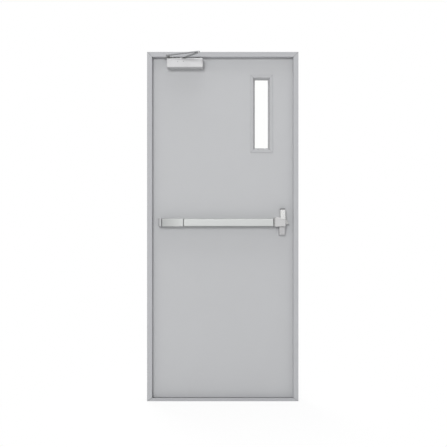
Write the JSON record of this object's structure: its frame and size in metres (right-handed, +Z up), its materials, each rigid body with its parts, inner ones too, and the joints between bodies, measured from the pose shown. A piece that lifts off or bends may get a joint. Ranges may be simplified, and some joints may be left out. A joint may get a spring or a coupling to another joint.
{
  "type": "fire rated steel door",
  "caption": "Single-leaf steel fire door in a pressed steel frame, with a narrow vision panel, an overhead closer with two arms and a push-bar exit device.",
  "frame": {"origin": "on the floor under the middle of the sill, at the frame's mid-depth", "axes": "+X to the right seen from the push side, +Y through the door away from the viewer, +Z up"},
  "size_m": [0.91, 0.248, 2.1],
  "materials": {
    "closer_silver": "satin silver",
    "rail_silver": "satin silver",
    "frame_paint": "satin light grey paint",
    "seal_rubber": "matt grey",
    "hinge_steel": "brushed",
    "latch_steel": "polished",
    "case_silver": "satin silver",
    "plug_plastic": "matt dark grey",
    "leaf_paint": "satin light grey paint",
    "leaf_edge_steel": "satin light grey paint",
    "mineral_core": "rough mineral board",
    "pad_silver": "satin silver",
    "bead_paint": "satin light grey paint",
    "fire_glass": "clear"
  },
  "bodies": {
    "frame": {"closer_shoe": "closer_silver", "frame_head": "frame_paint", "frame_jamb_hinge_side": "frame_paint", "frame_jamb_latch_side": "frame_paint", "frame_sill": "frame_paint", "hinge_bottom_frame_plate": "hinge_steel", "hinge_bottom_pin": "hinge_steel", "hinge_middle_frame_plate": "hinge_steel", "hinge_middle_pin": "hinge_steel", "hinge_top_frame_plate": "hinge_steel", "hinge_top_pin": "hinge_steel", "smoke_seal": "seal_rubber"},
    "leaf": {"closer_body": "closer_silver", "exit_rail": "rail_silver", "glazing_tape_back": "seal_rubber", "glazing_tape_front": "seal_rubber", "hinge_bottom_leaf_plate": "hinge_steel", "hinge_middle_leaf_plate": "hinge_steel", "hinge_top_leaf_plate": "hinge_steel", "latch_case": "case_silver", "latch_case_end_plug": "plug_plastic", "latch_case_lower_cover": "case_silver", "latch_case_upper_cover": "case_silver", "leaf_back_skin": "leaf_paint", "leaf_bottom_channel": "leaf_edge_steel", "leaf_core": "mineral_core", "leaf_front_skin": "leaf_paint", "leaf_top_channel": "leaf_edge_steel", "rail_cover": "rail_silver", "rail_end_cap": "rail_silver", "vision_bead_back": "bead_paint", "vision_bead_front": "bead_paint", "vision_glass": "fire_glass"},
    "main_arm": {"closer_main_arm": "closer_silver", "closer_spindle": "closer_silver", "closer_elbow_pin": "closer_silver"},
    "fore_arm": {"closer_fore_arm": "closer_silver"},
    "touch_pad": {"touch_pad": "pad_silver"},
    "latch": {"latch_bolt": "latch_steel"}
  },
  "joints": [
    {"name": "leaf_hinge", "type": "hinge", "parent": "frame", "child": "leaf", "pos_m": [-0.437, 0.047, 1.1], "axis": [0, 0, 1], "range_deg": [0, 110], "stiffness_Nm_per_rad": 10, "springref_deg": -20.05},
    {"name": "main_arm_turn", "type": "hinge", "parent": "leaf", "child": "main_arm", "pos_m": [-0.25, -0.038, 2.06], "axis": [0, 0, 1], "range_deg": [-110, 0]},
    {"name": "fore_arm_turn", "type": "hinge", "parent": "frame", "child": "fore_arm", "pos_m": [-0.327, -0.102, 2.06], "axis": [0, 0, 1], "range_deg": [0, 110]},
    {"name": "touch_pad_push", "type": "slide", "parent": "leaf", "child": "touch_pad", "axis": [0, 1, 0], "range_m": [0, 0.014], "stiffness_N_per_m": 800, "springref_m": -0.01},
    {"name": "latch_slide", "type": "slide", "parent": "leaf", "child": "latch", "axis": [-1, 0, 0], "range_m": [0, 0.02]}
  ],
  "couplings": [
    {"joint": "main_arm_turn", "follows": "leaf_hinge", "ratio": -1},
    {"joint": "fore_arm_turn", "follows": "leaf_hinge", "ratio": 1},
    {"joint": "latch_slide", "follows": "touch_pad_push", "ratio": 1.4286}
  ]
}
